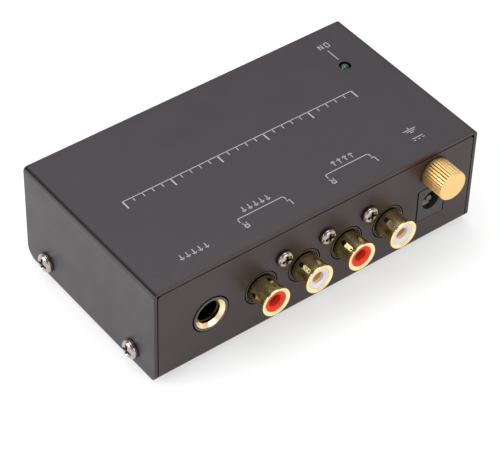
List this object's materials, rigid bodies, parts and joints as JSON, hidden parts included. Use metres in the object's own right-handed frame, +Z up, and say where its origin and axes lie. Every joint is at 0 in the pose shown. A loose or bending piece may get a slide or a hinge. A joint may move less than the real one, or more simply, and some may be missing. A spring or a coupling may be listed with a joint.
{
  "type": "phono preamp",
  "caption": "Turntable preamp in a folded steel case, with phono sockets, a stereo jack, a power inlet and a knurled ground terminal on one long edge, a lamp on top.",
  "frame": {"origin": "on the table under the middle of the whole part", "axes": "+Z up, +X to the right seen from the connector panel, which faces -Y"},
  "size_m": [0.1088, 0.0654, 0.0325],
  "materials": {
    "case_black": "satin black baked paint",
    "nickel": "nickel plated steel",
    "gold": "gold plated brass",
    "red_plastic": "moulded red",
    "white_plastic": "moulded white",
    "black_plastic": "moulded black",
    "rubber": "matt rubber",
    "board_green": "solder-masked glass laminate",
    "tin": "tinned",
    "spring_bronze": "nickel plated spring bronze",
    "lens_green": "dark green moulded lens",
    "wire_green": "green insulation",
    "chip_black": "moulded epoxy",
    "can_sleeve": "shrunk sleeve",
    "film_red": "dipped epoxy",
    "ceramic_tan": "dipped ceramic",
    "resistor_blue": "lacquered",
    "brass_plain": "plain brass"
  },
  "bodies": {
    "case": {"top_cover": "case_black", "base_chassis": "case_black", "cover_screws": "nickel", "jack_panel_screws": "nickel", "rubber_feet": "rubber", "circuit_board": "board_green", "board_standoffs": "brass_plain", "board_screws": "nickel", "rca_housing": "black_plastic", "trs_jack_body": "black_plastic", "trs_bushing": "gold", "trs_terminals": "tin", "inlet_body": "black_plastic", "inlet_pin": "nickel", "inlet_terminals": "tin", "ground_screw": "gold", "ground_lock_washer": "nickel", "ground_lug": "tin", "ground_wire": "wire_green", "lamp_lens": "lens_green", "lamp_leads": "tin", "lamp_spacer": "chip_black", "amplifier_chips": "chip_black", "chip_legs": "tin", "supply_capacitor": "can_sleeve", "electrolytic_capacitors": "can_sleeve", "film_capacitors": "film_red", "ceramic_capacitors": "ceramic_tan", "resistor_bodies": "resistor_blue", "resistor_leads": "tin", "supply_diode": "chip_black", "voltage_regulator": "chip_black", "rca_shell_output_right": "gold", "rca_insulator_output_right": "red_plastic", "rca_contact_output_right": "gold", "rca_shell_output_left": "gold", "rca_insulator_output_left": "white_plastic", "rca_contact_output_left": "gold", "rca_shell_input_right": "gold", "rca_insulator_input_right": "red_plastic", "rca_contact_input_right": "gold", "rca_shell_input_left": "gold", "rca_insulator_input_left": "white_plastic", "rca_contact_input_left": "gold"},
    "washer": {"ground_washer": "gold"},
    "knob": {"ground_knob": "gold"},
    "tip_leaf": {"trs_tip_spring": "spring_bronze"},
    "ring_leaf": {"trs_ring_spring": "spring_bronze"},
    "inlet_leaf": {"inlet_spring": "spring_bronze"}
  },
  "joints": [
    {"name": "knob_travel", "type": "slide", "parent": "case", "child": "washer", "axis": [0, -1, 0], "range_m": [0, 0.0035]},
    {"name": "knob_turn", "type": "hinge", "parent": "washer", "child": "knob", "pos_m": [0.038, -0.02555, 0.0255], "axis": [0, -1, 0], "range_deg": [0, 1800]},
    {"name": "tip_leaf_flex", "type": "hinge", "parent": "case", "child": "tip_leaf", "pos_m": [-0.02942, -0.00905, 0.0156], "axis": [0, 0, -1], "range_deg": [0, 4], "stiffness_Nm_per_rad": 0.05},
    {"name": "ring_leaf_flex", "type": "hinge", "parent": "case", "child": "ring_leaf", "pos_m": [-0.04062, -0.01355, 0.0156], "axis": [0, 0, 1], "range_deg": [0, 4], "stiffness_Nm_per_rad": 0.05},
    {"name": "inlet_leaf_flex", "type": "hinge", "parent": "case", "child": "inlet_leaf", "pos_m": [0.038, -0.01405, 0.0112], "axis": [1, 0, 0], "range_deg": [0, 3], "stiffness_Nm_per_rad": 0.05}
  ],
  "couplings": [
    {"joint": "knob_turn", "follows": "knob_travel", "rad_per_m": 8975.9}
  ]
}
